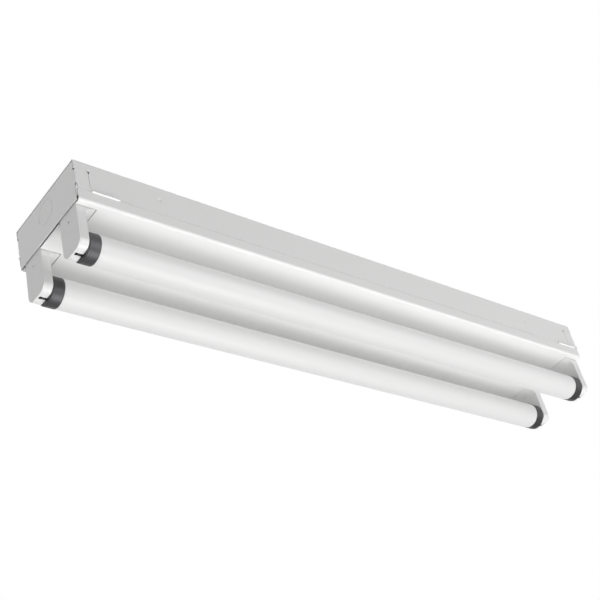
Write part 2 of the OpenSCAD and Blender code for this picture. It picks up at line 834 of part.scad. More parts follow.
// Ground wire: a ring terminal with a tongue on the ground stud, and the run to its connector
module lead_ground() {
    ground_z = ballast_top - nest_gap - wire_r;
    color("green") {
        translate([ground_x, ground_y, ballast_top - ear_t]) difference() {
            union() {
                cylinder(h = ear_t, r = ring_out_r);
                translate([-tongue_l, -tongue_w / 2, 0]) cube([tongue_l, tongue_w, ear_t]);
            }
            translate([0, 0, -over]) cylinder(h = ear_t + 2 * over, r = stud_r + nest_gap);
        }
        wire([
            [ground_x - nut_r - wire_r, ground_y, ground_z],
            [ground_x - ring_run, ground_y, ground_z],
            [connector_x + ring_run, connector_ys[2], supply_run_z],
            [connector_x - connector_socket, connector_ys[2], supply_run_z]
        ]);
    }
}

// Twist-on connectors, their mouths towards the ballast
module wire_connectors() {
    color("orange") for (y = connector_ys)
        translate([connector_x, y, supply_run_z]) turned_x() polygon([
            [0, -connector_socket],
            [wire_hole_r, -connector_socket],
            [wire_hole_r, 0],
            [connector_r, 0],
            [connector_tip_r, -connector_l],
            [0, -connector_l]
        ]);
}

channel_housing();
at_end(true) end_plate();  // end_plate_left
at_end(false) end_plate();  // end_plate_right
channel_cover();
at_end(true) lampholder_bracket();  // lampholder_bracket_left
at_end(false) lampholder_bracket();  // lampholder_bracket_right
at_end(true) on_lamp(true) lampholder();  // lampholder_front_left
at_end(false) on_lamp(true) lampholder();  // lampholder_front_right
at_end(true) on_lamp(false) lampholder();  // lampholder_rear_left
at_end(false) on_lamp(false) lampholder();  // lampholder_rear_right
at_end(true) on_lamp(true) holder_back();  // holder_back_front_left
at_end(false) on_lamp(true) holder_back();  // holder_back_front_right
at_end(true) on_lamp(false) holder_back();  // holder_back_rear_left
at_end(false) on_lamp(false) holder_back();  // holder_back_rear_right
at_end(true) on_lamp(true) rotor();  // rotor_front_left
at_end(false) on_lamp(true) rotor();  // rotor_front_right
at_end(true) on_lamp(false) rotor();  // rotor_rear_left
at_end(false) on_lamp(false) rotor();  // rotor_rear_right
at_end(true) on_lamp(true) contact();  // contact_front_left
at_end(false) on_lamp(true) contact();  // contact_front_right
at_end(true) on_lamp(false) contact();  // contact_rear_left
at_end(false) on_lamp(false) contact();  // contact_rear_right
on_lamp(true) lamp_glass();  // lamp_glass_front
on_lamp(false) lamp_glass();  // lamp_glass_rear
at_end(true) on_lamp(true) lamp_cap();  // lamp_cap_front_left
at_end(false) on_lamp(true) lamp_cap();  // lamp_cap_front_right
at_end(true) on_lamp(false) lamp_cap();  // lamp_cap_rear_left
at_end(false) on_lamp(false) lamp_cap();  // lamp_cap_rear_right
at_end(true) on_lamp(true) lamp_base();  // lamp_base_front_left
at_end(false) on_lamp(true) lamp_base();  // lamp_base_front_right
at_end(true) on_lamp(false) lamp_base();  // lamp_base_rear_left
at_end(false) on_lamp(false) lamp_base();  // lamp_base_rear_right
at_end(true) on_lamp(true) lamp_pins();  // lamp_pins_front_left
at_end(false) on_lamp(true) lamp_pins();  // lamp_pins_front_right
at_end(true) on_lamp(false) lamp_pins();  // lamp_pins_rear_left
at_end(false) on_lamp(false) lamp_pins();  // lamp_pins_rear_right
on_lamp(true) cathodes();  // cathodes_front
on_lamp(false) cathodes();  // cathodes_rear
ballast_case();
ballast_base();
ballast_filling();
ballast_studs();
ballast_nuts();
leads_left();
leads_right();
lead_black();
lead_white();
lead_ground();
wire_connectors();
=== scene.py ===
# %% [markdown]
# # Two-lamp fluorescent strip light
#
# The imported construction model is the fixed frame: its nodes say where every piece sits. This
# lesson dresses it. Folded sheet and moulded pieces are copies of the nodes with softened edges,
# and everything turned, wound or drawn, such as lamps, caps, pins, studs and wires, is a surface
# worked out with numpy. The frame is in metres, X runs along the lamps and Z points up. The
# surfaces are written in millimetres and scaled when their mesh is made.

# %% Load the frame
import json
import math

import bmesh
import bpy
import numpy as np
from mathutils import Euler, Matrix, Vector

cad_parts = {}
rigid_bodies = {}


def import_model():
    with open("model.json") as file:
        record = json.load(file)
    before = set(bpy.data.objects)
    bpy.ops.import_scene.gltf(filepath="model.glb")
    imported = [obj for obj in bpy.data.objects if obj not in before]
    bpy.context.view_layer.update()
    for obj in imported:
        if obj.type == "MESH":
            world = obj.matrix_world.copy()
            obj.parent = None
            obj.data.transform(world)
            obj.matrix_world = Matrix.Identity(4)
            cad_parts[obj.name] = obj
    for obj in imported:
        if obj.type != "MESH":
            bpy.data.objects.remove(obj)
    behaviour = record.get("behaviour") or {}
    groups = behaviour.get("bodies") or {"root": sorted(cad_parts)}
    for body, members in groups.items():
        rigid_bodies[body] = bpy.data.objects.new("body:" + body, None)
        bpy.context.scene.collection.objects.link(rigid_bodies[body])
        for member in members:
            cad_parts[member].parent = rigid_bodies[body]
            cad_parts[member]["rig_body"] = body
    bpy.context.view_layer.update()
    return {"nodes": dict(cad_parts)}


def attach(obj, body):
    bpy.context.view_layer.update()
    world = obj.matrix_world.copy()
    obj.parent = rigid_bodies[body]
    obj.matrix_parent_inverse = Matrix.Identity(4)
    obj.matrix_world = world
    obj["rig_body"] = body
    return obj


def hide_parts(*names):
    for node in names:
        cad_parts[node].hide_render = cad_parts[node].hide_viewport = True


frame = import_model()
MM = 0.001

# %% [markdown]
# ## Camera
#
# The photograph looks up at the underside from the front left, and it is rolled a little. The
# angle could be found by eye, but the edges of the channel and the rings of the lamps fix it
# better, so the camera takes the place and turn that fitted those edges.

# %% Camera
lens_mm, sensor_mm = 70.14, 36.0
camera_place = (-0.68407, -0.60054, -0.66151)
camera_degrees = (126.7136, 12.3800, -37.6831)

camera_data = bpy.data.cameras.new("photo_camera")
camera_data.lens = lens_mm
camera_data.sensor_width = sensor_mm
camera = bpy.data.objects.new("photo_camera", camera_data)
camera.location = camera_place
camera.rotation_euler = Euler([math.radians(a) for a in camera_degrees], "XYZ")
bpy.context.scene.collection.objects.link(camera)
bpy.context.scene.camera = camera
bpy.context.scene.view_settings.view_transform = "Standard"

# %% [markdown]
# ## Light and floor
#
# A studio would use a big softbox under the fixture and white card round it. The softbox is an
# area lamp below the front; it is small enough for a lamp to shade the cover beside it. Weaker
# ones light the side wall, the lamps' rear side and the left end, and one above keeps the top and
# back readable. The white card is the world: it lights evenly at less than full strength, while
# camera, mirror and glass rays see it white.

# %% Light
fixture_middle, fixture_left = (0, 0, -0.05), (-0.2, 0, -0.05)
card_strength = 0.185


def area_lamp(name, place, aim, size, power):
    """A square lamp at a place, turned so that its face looks at the aim."""
    data = bpy.data.lights.new(name, "AREA")
    data.size = size
    data.energy = power
    lamp = bpy.data.objects.new(name, data)
    lamp.location = place
    lamp.rotation_euler = (Vector(aim) - Vector(place)).to_track_quat("-Z", "Y").to_euler()
    lamp.visible_camera = False
    bpy.context.scene.collection.objects.link(lamp)


def maths(tree, operation, first, second):
    """A math node whose inputs are sockets or numbers."""
    node = tree.nodes.new("ShaderNodeMath")
    node.operation = operation
    for socket, value in zip(node.inputs, (first, second)):
        if isinstance(value, (int, float)):
            socket.default_value = value
        else:
            tree.links.new(value, socket)
    return node.outputs[0]


def glowing(tree, kind, strength):
    """A white background or emission shader."""
    node = tree.nodes.new(kind)
    node.inputs["Color"].default_value = (1, 1, 1, 1)
    node.inputs["Strength"].default_value = strength
    return node.outputs[0]


def mixed(tree, share, first, second, end):
    """Two shaders mixed by a share, led to the tree's end node."""
    pick = tree.nodes.new("ShaderNodeMixShader")
    for socket, value in zip(pick.inputs, (share, first, second)):
        tree.links.new(value, socket)
    tree.links.new(pick.outputs[0], tree.nodes.new(end).inputs["Surface"])


area_lamp("softbox_below", (0.30, -0.66, -1.92), fixture_middle, 1.4, 30.0)
area_lamp("softbox_front", (0.75, -2.00, -0.45), fixture_middle, 1.5, 17.5)
area_lamp("softbox_rear", (0.00, 1.10, -1.70), fixture_middle, 1.4, 6.5)
area_lamp("softbox_left", (-2.00, -0.20, -0.40), fixture_left, 1.2, 11.0)
area_lamp("softbox_above", (0.60, 1.30, 1.70), fixture_middle, 1.8, 17.0)

world = bpy.data.worlds.new("white_card")
bpy.context.scene.world = world
world.use_nodes = True
card = world.node_tree
card.nodes.clear()
rays = card.nodes.new("ShaderNodeLightPath").outputs
direct = maths(card, "MAXIMUM", rays["Is Camera Ray"], rays["Is Glossy Ray"])
seen = maths(card, "MAXIMUM", direct, rays["Is Transmission Ray"])
mixed(card, seen, glowing(card, "ShaderNodeBackground", card_strength),
      glowing(card, "ShaderNodeBackground", 1.0), "ShaderNodeOutputWorld")

# %% [markdown]
# The floor lies well below, because the light hangs from a ceiling and the camera looks up past
# it. It is plain and pale. Its own colour carries the shadow, and a little of the white that only
# the camera sees lifts it towards the background.

# %% Floor
floor_half, floor_z, floor_grey, floor_glow = 6.0, -2.3, 0.82, 0.55


def grid_mesh(name, points, quads):
    """A mesh from a table of points and a table of four-cornered faces."""
    mesh = bpy.data.meshes.new(name)
    mesh.from_pydata(points, [], quads)
    mesh.update()
    return mesh


floor_points = np.array([[-1, -1, 0], [1, -1, 0], [1, 1, 0], [-1, 1, 0]], float) * floor_half
floor_points[:, 2] = floor_z
floor = bpy.data.objects.new("floor", grid_mesh("floor", floor_points, np.array([[0, 1, 2, 3]])))
bpy.context.scene.collection.objects.link(floor)
floor_finish = bpy.data.materials.new("pale_floor")
floor_finish.use_nodes = True
tree = floor_finish.node_tree
tree.nodes.clear()
rays = tree.nodes.new("ShaderNodeLightPath").outputs
paint = tree.nodes.new("ShaderNodeBsdfDiffuse")
paint.inputs["Color"].default_value = (floor_grey, floor_grey, floor_grey, 1)
mixed(tree, maths(tree, "MULTIPLY", rays["Is Camera Ray"], floor_glow), paint.outputs[0],
      glowing(tree, "ShaderNodeEmission", 1.0), "ShaderNodeOutputMaterial")
floor.data.materials.append(floor_finish)

# %% [markdown]
# ## Finishes
#
# No real surface has one flat tone: paint has clouds of slightly different grey and the fine
# waviness called orange peel, rolled metal has streaks, and moulded plastic a fine grain. Each of
# these is a node group with its own values in each material. A group gives only colours and
# values. The shader, with every number that is the same all over, stays in the material.

# %% Groups: cloudy tone and fine grain
noise_roughness, smear_scale = 0.55, 38.0


def new_group(name, inputs, outputs):
    """A shader group with named sockets: its tree, what it is given and what it has to give."""
    tree = bpy.data.node_groups.new(name, "ShaderNodeTree")
    for label, kind, value in inputs:
        socket = tree.interface.new_socket(label, in_out="INPUT", socket_type=kind)
        socket.default_value = value
    for label, kind in outputs:
        tree.interface.new_socket(label, in_out="OUTPUT", socket_type=kind)
    start, end = tree.nodes.new("NodeGroupInput"), tree.nodes.new("NodeGroupOutput")
    return tree, start.outputs, end.inputs


def object_place(tree):
    """The point on the object, in metres."""
    return tree.nodes.new("ShaderNodeTexCoord").outputs["Object"]


def noise(tree, vector, scale, detail):
    """A soft noise from 0 to 1 whose scale is a socket or a number of blobs to the metre."""
    node = tree.nodes.new("ShaderNodeTexNoise")
    node.inputs["Detail"].default_value = detail
    node.inputs["Roughness"].default_value = noise_roughness
    tree.links.new(vector, node.inputs["Vector"])
    if isinstance(scale, (int, float)):
        node.inputs["Scale"].default_value = scale
    else:
        tree.links.new(scale, node.inputs["Scale"])
    return node.outputs["Fac"]


def swung(tree, value, spread):
    """A value from 0 to 1 made a swing round nought, as wide as the spread."""
    return maths(tree, "MULTIPLY", maths(tree, "SUBTRACT", value, 0.5), spread)


def tinted(tree, colour, swing):
    """A colour made lighter or darker by a swing."""
    node = tree.nodes.new("ShaderNodeVectorMath")
    node.operation = "SCALE"
    tree.links.new(colour, node.inputs[0])
    tree.links.new(maths(tree, "ADD", swing, 1.0), node.inputs["Scale"])
    return node.outputs[0]


tone_group, given, wanted = new_group(
    "cloudy_tone",
    [("Colour", "NodeSocketColor", (0.8, 0.8, 0.8, 1)),
     ("Cloud Scale", "NodeSocketFloat", 20.0), ("Spread", "NodeSocketFloat", 0.04)],
    [("Colour", "NodeSocketColor")],
)
clouds = noise(tone_group, object_place(tone_group), given["Cloud Scale"], 3.0)
swing = swung(tone_group, clouds, given["Spread"])
tone_group.links.new(tinted(tone_group, given["Colour"], swing), wanted["Colour"])

grain_group, given, wanted = new_group(
    "fine_grain",
    [("Grain Scale", "NodeSocketFloat", 900.0), ("Roughness", "NodeSocketFloat", 0.4),
     ("Roughness Spread", "NodeSocketFloat", 0.08)],
    [("Height", "NodeSocketFloat"), ("Roughness", "NodeSocketFloat")],
)
where = object_place(grain_group)
grain = noise(grain_group, where, given["Grain Scale"], 2.0)
swing = swung(grain_group, noise(grain_group, where, smear_scale, 3.0), given["Roughness Spread"])
grain_group.links.new(grain, wanted["Height"])
grain_group.links.new(maths(grain_group, "ADD", swing, given["Roughness"]), wanted["Roughness"])
print("groups", [g.name for g in bpy.data.node_groups])

# %% [markdown]
# Rolled and turned metal is streaked one way. Stretching the coordinates before the noise draws
# the streaks. A zinc coat has crystals too, which are cells of slightly different grey. A lighter
# streak is rougher, and a lighter crystal smoother.

# %% Groups: streaks and zinc crystals
streak_dulling, crystal_spread, crystal_polish = 0.4, 0.22, -0.6


def metal_results(tree, given, wanted, swing, height, share):
    """Leads a swing to the colour and, times a share, to the roughness, and a height outwards."""
    rough = maths(tree, "ADD", maths(tree, "MULTIPLY", swing, share), given["Roughness"])
    tree.links.new(tinted(tree, given["Colour"], swing), wanted["Colour"])
    tree.links.new(height, wanted["Height"])
    tree.links.new(rough, wanted["Roughness"])


metal_outputs = [("Colour", "NodeSocketColor"), ("Height", "NodeSocketFloat"),
                 ("Roughness", "NodeSocketFloat")]
streak_group, given, wanted = new_group(
    "streaks",
    [("Colour", "NodeSocketColor", (0.5, 0.5, 0.5, 1)),
     ("Stretch", "NodeSocketVector", (60, 2500, 2500)),
     ("Roughness", "NodeSocketFloat", 0.3), ("Spread", "NodeSocketFloat", 0.3)],
    metal_outputs,
)
stretch = streak_group.nodes.new("ShaderNodeVectorMath")
stretch.operation = "MULTIPLY"
streak_group.links.new(object_place(streak_group), stretch.inputs[0])
streak_group.links.new(given["Stretch"], stretch.inputs[1])
lines = noise(streak_group, stretch.outputs[0], 1.0, 2.0)
metal_results(streak_group, given, wanted, swung(streak_group, lines, given["Spread"]), lines,
              streak_dulling)

zinc_group, given, wanted = new_group(
    "zinc_crystals",
    [("Colour", "NodeSocketColor", (0.6, 0.6, 0.6, 1)),
     ("Crystal Scale", "NodeSocketFloat", 260.0), ("Roughness", "NodeSocketFloat", 0.36)],
    metal_outputs,
)
cells = zinc_group.nodes.new("ShaderNodeTexVoronoi")
zinc_group.links.new(object_place(zinc_group), cells.inputs["Vector"])
zinc_group.links.new(given["Crystal Scale"], cells.inputs["Scale"])
split = zinc_group.nodes.new("ShaderNodeSeparateColor")
zinc_group.links.new(cells.outputs["Color"], split.inputs[0])
metal_results(zinc_group, given, wanted, swung(zinc_group, split.outputs[0], crystal_spread),
              split.outputs[1], crystal_polish)

# %% [markdown]
# Each finish is one material. Painted and moulded ones take the cloudy tone and the fine grain,
# and the grain also stirs the surface through a bump. Baked enamel on steel has a thin clear
# top, so it gets a light coat. The lamp's glass is clear over white powder: a rough white
# under a smooth coat shows it better than real glass with a powder sheet behind it would, and at
# a small share of the cost. Light that enters the tube comes out again all round, which keeps a
# lamp pale on its shaded side; a weak glow in its colour, painted light on a lamp that is off,
# stands for that.

# %% Painted and moulded finishes
FINISHES = {}


def shader(name, **numbers):
    """A material with a Principled shader whose plain numbers sit on its own sockets."""
    material = bpy.data.materials.new(name)
    material.use_nodes = True
    bsdf = material.node_tree.nodes["Principled BSDF"]
    for label, value in numbers.items():
        bsdf.inputs[label.replace("_", " ")].default_value = value
    FINISHES[name] = material
    return material.node_tree, bsdf


def place_group(tree, group, **values):
    """A group set in a material with its own values."""
    node = tree.nodes.new("ShaderNodeGroup")
    node.node_tree = group
    for label, value in values.items():
        node.inputs[label.replace("_", " ")].default_value = value
    return node.outputs


def stirred(tree, bsdf, height, strength, depth):
    """A bump from a height that feeds the shader's normal."""
    bump = tree.nodes.new("ShaderNodeBump")
    bump.inputs["Strength"].default_value = strength
    bump.inputs["Distance"].default_value = depth * MM
    tree.links.new(height, bump.inputs["Height"])
    tree.links.new(bump.outputs["Normal"], bsdf.inputs["Normal"])


def coated(name, colour, rough, clouds, grain, **numbers):
    """Paint, plastic or powder. clouds is the scale and spread of the tone, and grain the scale,
    strength and depth of the bump."""
    tree, bsdf = shader(name, **numbers)
    tone = place_group(tree, tone_group, Colour=(*colour, 1), Cloud_Scale=clouds[0],
                       Spread=clouds[1])
    fine = place_group(tree, grain_group, Grain_Scale=grain[0], Roughness=rough)
    tree.links.new(tone["Colour"], bsdf.inputs["Base Color"])
    tree.links.new(fine["Roughness"], bsdf.inputs["Roughness"])
    stirred(tree, bsdf, fine["Height"], grain[1], grain[2])


coated("white_paint", (0.84, 0.84, 0.835), 0.42, (14.0, 0.012), (650.0, 0.3, 0.05),
       Coat_Weight=0.12, Coat_Roughness=0.3)
coated("ballast_paint", (0.78, 0.78, 0.765), 0.48, (25.0, 0.06), (800.0, 0.35, 0.06))
coated("holder_plastic", (0.80, 0.80, 0.795), 0.34, (40.0, 0.03), (2200.0, 0.3, 0.03))
# The rotor's near black is black plastic and also painted shade that stands for the dark pin slot.
coated("rotor_plastic", (0.045, 0.045, 0.048), 0.42, (60.0, 0.04), (2400.0, 0.3, 0.03))
# The lamp's glow is painted light: the lamp is off, and the glow lifts its shaded side.
coated("lamp_glass", (0.445, 0.445, 0.442), 0.6, (9.0, 0.02), (1500.0, 0.12, 0.02),
       Coat_Weight=0.3, Coat_Roughness=0.3, Emission_Color=(1, 1, 0.995, 1),
       Emission_Strength=0.30)
coated("base_fibre", (0.055, 0.045, 0.04), 0.7, (300.0, 0.35), (1800.0, 0.6, 0.08))
coated("potting", (0.05, 0.05, 0.052), 0.6, (60.0, 0.3), (500.0, 0.6, 0.3))
coated("connector_plastic", (0.82, 0.30, 0.05), 0.42, (90.0, 0.08), (1800.0, 0.35, 0.05))
coated("stem_glass", (0.72, 0.76, 0.74), 0.12, (120.0, 0.1), (900.0, 0.1, 0.03),
       Transmission_Weight=0.7, IOR=1.5)
insulations = {
    "red": ((0.55, 0.03, 0.03), 0.12), "blue": ((0.03, 0.10, 0.48), 0.12),
    "black": ((0.025, 0.025, 0.028), 0.2), "white": ((0.80, 0.80, 0.78), 0.06),
    "green": ((0.03, 0.30, 0.08), 0.12),
}
for name, (colour, spread) in insulations.items():
    coated(f"{name}_insulation", colour, 0.36, (80.0, spread), (1500.0, 0.25, 0.03))

# %% [markdown]
# The metals read their streaks along their own working direction: caps are rolled round the
# lamp's axis, pins are turned, contact strip is cold rolled, and the brackets, the ballast's base,
# the studs and the nuts are zinc-coated.

# %% Metals
streak_bump, zinc_bump, metal_depth = 0.2, 0.08, 0.03


def metal_links(tree, bsdf, results, bump):
    """Leads a metal group's results to the shader."""
    tree.links.new(results["Colour"], bsdf.inputs["Base Color"])
    tree.links.new(results["Roughness"], bsdf.inputs["Roughness"])
    stirred(tree, bsdf, results["Height"], bump, metal_depth)


def streaked(name, colour, rough, stretch, spread, metallic):
    """Worked metal: streaks in its colour, height and roughness."""
    tree, bsdf = shader(name, Metallic=metallic)
    lines = place_group(tree, streak_group, Colour=(*colour, 1), Stretch=stretch,
                        Roughness=rough, Spread=spread)
    metal_links(tree, bsdf, lines, streak_bump)


streaked("cap_metal", (0.08, 0.08, 0.083), 0.46, (2600, 180, 180), 0.25, 0.85)
streaked("pin_brass", (0.70, 0.50, 0.22), 0.28, (3000, 500, 500), 0.2, 1.0)
streaked("contact_bronze", (0.60, 0.40, 0.20), 0.32, (3000, 3000, 120), 0.2, 1.0)
streaked("electrode_wire", (0.30, 0.30, 0.31), 0.35, (400, 4000, 4000), 0.2, 1.0)
tree, bsdf = shader("zinc_steel", Metallic=0.95)
crystals = place_group(tree, zinc_group, Colour=(0.50, 0.51, 0.52, 1))
metal_links(tree, bsdf, crystals, zinc_bump)
print("finishes", sorted(FINISHES))

# %% [markdown]
# ## Folded and moulded pieces
#
# Sheet steel is never sharp at its cut and folded edges, and moulded plastic even less so. The
# shapes themselves are right in the frame, so each of these pieces is a copy of its node with
# its loose triangles merged, its flat faces made whole and a small bevel over its edges. Making
# them anew would only risk a difference from the solids. The channel and the end plates have the
# largest walls, so their shading breaks at a smaller turn, which keeps the walls evenly lit.

# %% Softened copies
merge_distance, flat_turn, bevel_from, bevel_segments = 0.002 * MM, 0.6, 38, 2
edge_turn, shallow_edge_turn, turned_edge_turn = 38, 20, 35
slot_of = {name: node.data.materials[0].name for name, node in frame["nodes"].items()}
body_of = {name: node["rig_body"] for name, node in frame["nodes"].items()}


def finish_piece(obj, slot, body, stands_for, smooth):
    """Gives a piece its material, its smooth shading, its body and the nodes it stands for."""
    obj.data.materials.clear()
    obj.data.materials.append(FINISHES[slot])
    obj.data.shade_smooth()
    obj.data.set_sharp_from_angle(angle=math.radians(smooth))
    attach(obj, body)
    if stands_for:
        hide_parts(*stands_for)


def softened(node, width, smooth):
    """A copy of a node with rounded edges. The normals that came with the loose triangles go, and
    the shading follows the largest faces, so a long flat wall stays evenly lit up to its folds."""
    mesh = frame["nodes"][node].data.copy()
    mesh.name = node + "_soft"
    work = bmesh.new()
    work.from_mesh(mesh)
    bmesh.ops.remove_doubles(work, verts=work.verts, dist=merge_distance)
    bmesh.ops.dissolve_limit(work, angle_limit=math.radians(flat_turn), verts=work.verts,
                             edges=work.edges)
    work.to_mesh(mesh)
    work.free()
    stored = mesh.attributes.get("custom_normal")
    if stored:
        mesh.attributes.remove(stored)
    obj = bpy.data.objects.new(node + "_soft", mesh)
    bpy.context.scene.collection.objects.link(obj)
    finish_piece(obj, slot_of[node], body_of[node], [node], smooth)
    bevel = obj.modifiers.new("soft_edges", "BEVEL")
    bevel.width = width * MM
    bevel.segments = bevel_segments
    bevel.limit_method = "ANGLE"
    bevel.angle_limit = math.radians(bevel_from)
    bevel.use_clamp_overlap = True
    bevel.loop_slide = False
    even = obj.modifiers.new("even_normals", "WEIGHTED_NORMAL")
    even.mode = "FACE_AREA"
    even.keep_sharp = True


soft_edges = {
    "channel_housing": 0.12, "channel_cover": 0.12, "end_plate": 0.12,
    "lampholder_bracket": 0.15, "lampholder_front": 0.13, "lampholder_rear": 0.13,
    "holder_back": 0.14, "rotor": 0.1, "contact": 0.05, "ballast_case": 0.12,
    "ballast_base": 0.15, "ballast_filling": 0.3,
}
for node in sorted(frame["nodes"]):
    for stem, width in soft_edges.items():
        if node.startswith(stem):
            shallow = stem in ("channel_housing", "end_plate")
            softened(node, width, shallow_edge_turn if shallow else edge_turn)

# %% [markdown]
# ## Turned surfaces
#
# A lamp, its caps, pins and the connectors are all turned shapes. One function carries a profile
# round a line: point (r, h) of the profile goes to distance r from the line at height h along it,
# at each of a ring of angles. A profile that starts and ends on the line closes at its poles, and
# one that is itself a loop makes a hollow ring.

# %% Turning
def grid_faces(rows, columns, loop_rows, loop_columns):
    """Four-cornered faces between neighbours on a grid; a looped side joins its last to its
    first."""
    i = np.arange(rows if loop_rows else rows - 1)
    j = np.arange(columns if loop_columns else columns - 1)
    i, j = np.meshgrid(i, j, indexing="ij")
    i2, j2 = (i + 1) % rows, (j + 1) % columns
    corners = np.stack([i * columns + j, i * columns + j2, i2 * columns + j2, i2 * columns + j], -1)
    return corners.reshape(-1, 4)


def turned(profile, place, along="X", steps=96, looped=False, wave=None):
    """Points (h along the line, then r cos and r sin across it) for each profile point and angle.
    wave, if given, changes r by a share that depends on h and the angle."""
    profile = np.asarray(profile, float)
    r, h = profile[:, 0][:, None], profile[:, 1][:, None]
    angle = np.linspace(0, 2 * np.pi, steps, endpoint=False)[None, :]
    if wave is not None:
        r = r * (1 + wave(h, angle))
    axial = h + 0 * angle
    one, two = r * np.cos(angle), r * np.sin(angle)
    order = (axial, one, two) if along == "X" else (one, two, axial)
    points = np.stack(order, -1).reshape(-1, 3) + np.asarray(place, float)
    return points, grid_faces(len(profile), steps, looped, True)


def joined(parts):
    """Several point and face tables as one."""
    shifts = np.cumsum([0] + [len(points) for points, _ in parts[:-1]])
    faces = [faces + shift for (_, faces), shift in zip(parts, shifts)]
    return np.concatenate([points for points, _ in parts]), np.concatenate(faces)


def shaped(name, parts, slot, body, stands_for=(), smooth=turned_edge_turn):
    """One piece from tables in millimetres: doubles merge at the poles and faces turn outwards."""
    points, quads = joined(parts)
    mesh = grid_mesh(name, points * MM, quads)
    work = bmesh.new()
    work.from_mesh(mesh)
    bmesh.ops.remove_doubles(work, verts=work.verts, dist=0.0005 * MM)
    bmesh.ops.recalc_face_normals(work, faces=work.faces)
    work.to_mesh(mesh)
    work.free()
    obj = bpy.data.objects.new(name, mesh)
    bpy.context.scene.collection.objects.link(obj)
    finish_piece(obj, slot, body, stands_for, smooth)
    return obj


def arc(centre_r, centre_h, radius, start, end, steps=8):
    """Profile points on a part of a circle, by angle from the outward direction."""
    a = np.radians(np.linspace(start, end, steps))
    return np.stack([centre_r + radius * np.cos(a), centre_h + radius * np.sin(a)], -1)


# %% [markdown]
# ## Lamps
#
# The glass tube is one turned wall, drawn in at each end where the cap goes over it. The shoulder
# is an S curve, because hot glass is rolled in there, and not the straight cone of the solid.

# %% Lamp glass
lamp_y, lamp_z = 28.6, -73.5
lamp_axis = {"front": (0, -lamp_y, lamp_z), "rear": (0, lamp_y, lamp_z)}
half_lamp, lamp_r, cap_l, glass_t, neck_r = 294.9, 12.7, 10.4, 0.8, 12.35
glass_half, shoulder_l = half_lamp - 3.4, 0.6
lamp_edge_turn = 30


def glass_profile():
    """A closed wall: outside from left to right, then back along the inside."""
    u = np.linspace(0, 1, 9)
    ease = u * u * (3 - 2 * u)
    shoulder = np.stack([lamp_r + (neck_r - lamp_r) * ease,
                         half_lamp - cap_l - shoulder_l + shoulder_l * u], -1)
    rim_r = glass_t / 2
    right = np.concatenate([
        shoulder, [[neck_r, glass_half - 0.3]],
        arc(neck_r - rim_r, glass_half - rim_r, rim_r, 20, 160, 7),
        [[neck_r - glass_t, glass_half - 0.8]], shoulder[::-1] - [glass_t, 0],
    ])
    return np.concatenate([right, right[::-1] * [1, -1]])


for name, place in lamp_axis.items():
    glass = shaped(f"lamp_tube_{name}", [turned(glass_profile(), place, steps=128, looped=True)],
                   "lamp_glass", f"lamp_{name}", [f"lamp_glass_{name}"], lamp_edge_turn)
print("glass faces", len(glass.data.polygons))

# %% [markdown]
# The caps are drawn aluminium cups. Their open edge is rolled in a hair, a shallow bead runs
# round the skirt, and the end turns in over the fibre disc. A row of small crimps, four round the
# skirt, holds the cap on the glass; they are dips in the radius.

# %% Caps
cap_r, cap_edge, cap_t, base_r = 12.85, 1.2, 0.35, 8.6
bead_depth, bead_back, crimp_share, crimp_up, crimp_count = 0.10, 3.0, 0.012, 3.2, 4


def crimps(h, angle):
    """Shallow dips round the skirt, each a bell in the angle and in the height."""
    middle = half_lamp - cap_l + crimp_up
    turn = np.mod(angle * crimp_count / (2 * np.pi) + 0.25, 1)
    bell = np.exp(-((turn - 0.5) / 0.035) ** 2)
    return -crimp_share * bell * np.exp(-((np.abs(h) - middle) / 0.7) ** 2)


def cap_profile(side):
    """A closed wall: the skirt outside, the rounded edge, the turned-in end, and back inside."""
    start, end = half_lamp - cap_l, half_lamp
    skirt = np.linspace(start + 0.3, end - cap_edge, 24)
    bead = bead_depth * np.exp(-((skirt - (end - bead_back)) / 0.45) ** 2)
    outside = np.concatenate([
        [[cap_r - 0.22, start + 0.02], [cap_r - 0.1, start], [cap_r - 0.02, start + 0.1]],
        np.stack([cap_r - bead, skirt], -1),
        arc(cap_r - cap_edge, end - cap_edge, cap_edge, 8, 90, 10),
        [[base_r + 0.12, end], [base_r, end - 0.1], [base_r, end - cap_t]],
    ])
    inside = np.concatenate([
        arc(cap_r - cap_edge, end - cap_edge, cap_edge - cap_t, 90, 0, 10),
        np.stack([cap_r - bead - cap_t, skirt], -1)[::-1],
        [[cap_r - cap_t, start + 0.05]],
    ])
    return np.concatenate([outside, inside]) * [1, side]


ends = {"left": -1, "right": 1}
for lamp, place in lamp_axis.items():
    for end, side in ends.items():
        skin = turned(cap_profile(side), place, steps=128, looped=True, wave=crimps)
        cap = shaped(f"cap_{lamp}_{end}", [skin], "cap_metal", f"lamp_{lamp}",
                     [f"lamp_cap_{lamp}_{end}"], lamp_edge_turn)
print("cap faces", len(cap.data.polygons))

# %% [markdown]
# The fibre disc closes the cap and holds the two pins. It is a turned disc with a lip behind the
# cap's edge; the pins fill its holes, so the disc itself can stay whole here. Each pin is a turned
# brass pin with a rounded tip.

# %% Discs and pins
pin_r, pin_half, pin_l, pin_root, pin_tip_r = 1.175, 6.35, 6.6, 3, 0.5
rim_gap, rim_r, rim_depth, lip_w, lip_depth = 0.1, 0.2, 0.45, 0.8, 2.05


def disc_profile(side):
    """The visible disc with a softened rim, and the wider lip behind it."""
    end, rim, lip = half_lamp, base_r - rim_gap, base_r + lip_w
    return np.concatenate([
        [[0, end]], arc(rim - rim_r, end - rim_r, rim_r, 90, 0, 5),
        [[rim, end - rim_depth], [lip, end - rim_depth], [lip, end - lip_depth],
         [0, end - lip_depth]],
    ]) * [1, side]


def pin_profile(side):
    """A pin from its root to its rounded tip."""
    end, tip = half_lamp, half_lamp + pin_l
    return np.concatenate([
        [[0, end - pin_root], [pin_r, end - pin_root], [pin_r, end], [pin_r, tip - pin_tip_r]],
        arc(pin_r - pin_tip_r, tip - pin_tip_r, pin_tip_r, 10, 90, 6), [[0, tip]],
    ]) * [1, side]


